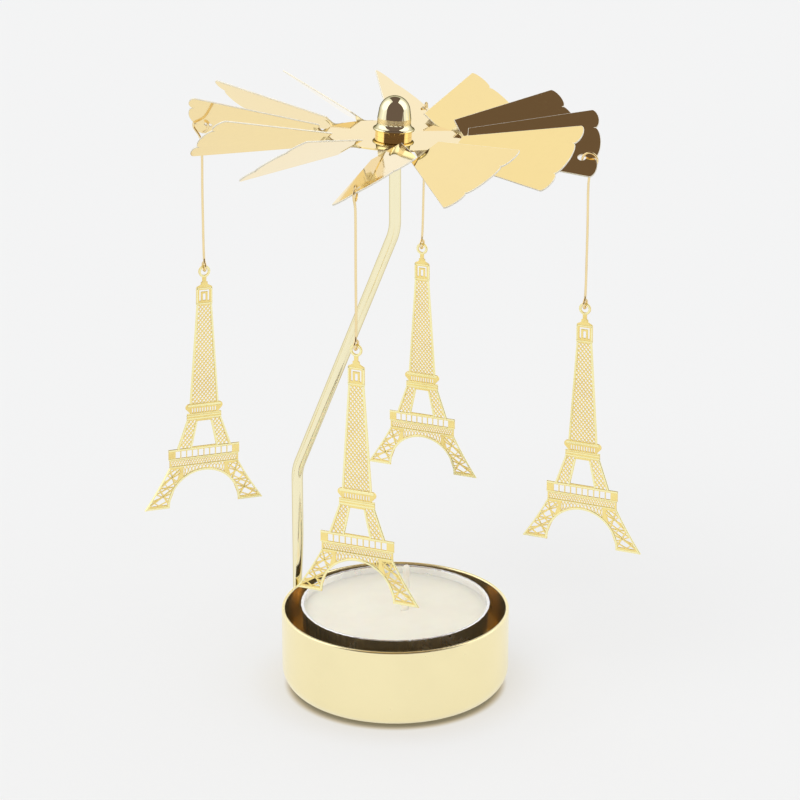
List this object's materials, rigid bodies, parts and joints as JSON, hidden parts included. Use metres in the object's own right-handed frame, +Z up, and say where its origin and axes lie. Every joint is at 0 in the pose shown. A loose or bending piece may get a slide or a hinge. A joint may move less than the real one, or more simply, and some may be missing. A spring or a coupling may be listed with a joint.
{
  "type": "candle carousel",
  "caption": "Tealight carousel: a cup with a bent rod whose needle point carries a bladed rotor, hung with flat lattice tower charms on wires.",
  "frame": {"origin": "middle of the cup's flat underside, on the surface that the object stands on", "axes": "+Z up along the rotor's turning axis; -Y towards the side that is seen from the front, so +X is to the right there"},
  "size_m": [0.0976, 0.084, 0.122],
  "materials": {
    "cup_gold": "satin pale gold outside, polished inside",
    "rod_gold": "bright pale gold",
    "rotor_gold": "mirror-polished gold plate",
    "charm_gold": "etched sheet, gold plated",
    "wire_gold": "bright drawn wire, gold plated",
    "seat_brass": "turned, bare",
    "foil": "bright drawn foil, slightly crinkled at the rim",
    "wax": "cream paraffin wax, smooth and slightly translucent",
    "wick": "waxed cotton braid",
    "tinplate": "plain stamped tinplate"
  },
  "bodies": {
    "base": {"base_cup": "cup_gold", "support_arm": "rod_gold"},
    "tealight": {"tealight_cup": "foil", "tealight_wax": "wax", "tealight_wick": "wick", "wick_sustainer": "tinplate"},
    "pivot": {"pivot_seat": "seat_brass"},
    "rotor": {"rotor_plate": "rotor_gold", "hub_cap": "rotor_gold"},
    "hanger_front": {"hanger_wire_front": "wire_gold"},
    "hanger_right": {"hanger_wire_right": "wire_gold"},
    "hanger_back": {"hanger_wire_back": "wire_gold"},
    "hanger_left": {"hanger_wire_left": "wire_gold"},
    "charm_front": {"tower_charm_front": "charm_gold"},
    "charm_right": {"tower_charm_right": "charm_gold"},
    "charm_back": {"tower_charm_back": "charm_gold"},
    "charm_left": {"tower_charm_left": "charm_gold"}
  },
  "joints": [
    {"name": "tealight_lift", "type": "slide", "parent": "base", "child": "tealight", "axis": [0, 0, 1], "range_m": [0, 0.025]},
    {"name": "rotor_lift", "type": "slide", "parent": "base", "child": "pivot", "axis": [0, 0, 1], "range_m": [0, 0.03]},
    {"name": "rotor_spin", "type": "hinge", "parent": "pivot", "child": "rotor", "pos_m": [0, 0, 0.1195], "axis": [0, 0, 1], "continuous": true},
    {"name": "hanger_front_swing", "type": "hinge", "parent": "rotor", "child": "hanger_front", "pos_m": [-0.00703, -0.03701, 0.1124], "axis": [-0.9824, 0.1867, 0], "range_deg": [-15, 40]},
    {"name": "hanger_right_swing", "type": "hinge", "parent": "rotor", "child": "hanger_right", "pos_m": [0.03648, -0.00692, 0.11058], "axis": [-0.1863, -0.9825, 0], "range_deg": [-15, 40]},
    {"name": "hanger_back_swing", "type": "hinge", "parent": "rotor", "child": "hanger_back", "pos_m": [0.00623, 0.03651, 0.10964], "axis": [0.9858, -0.1681, 0], "range_deg": [-15, 40]},
    {"name": "hanger_left_swing", "type": "hinge", "parent": "rotor", "child": "hanger_left", "pos_m": [-0.03717, 0.00648, 0.11402], "axis": [0.1717, 0.9852, 0], "range_deg": [-2.5, 40]},
    {"name": "charm_front_swing", "type": "hinge", "parent": "hanger_front", "child": "charm_front", "pos_m": [-0.00703, -0.03701, 0.0842], "axis": [0.9164, -0.4004, 0], "range_deg": [-30, 30]},
    {"name": "charm_right_swing", "type": "hinge", "parent": "hanger_right", "child": "charm_right", "pos_m": [0.03623, -0.00692, 0.08238], "axis": [0.9018, -0.4321, 0], "range_deg": [-30, 30]},
    {"name": "charm_back_swing", "type": "hinge", "parent": "hanger_back", "child": "charm_back", "pos_m": [0.00554, 0.03651, 0.08145], "axis": [0.9085, -0.4179, 0], "range_deg": [-30, 30]},
    {"name": "charm_left_swing", "type": "hinge", "parent": "hanger_left", "child": "charm_left", "pos_m": [-0.03717, 0.00648, 0.08582], "axis": [0.9171, 0.3987, 0], "range_deg": [-30, 30]}
  ]
}
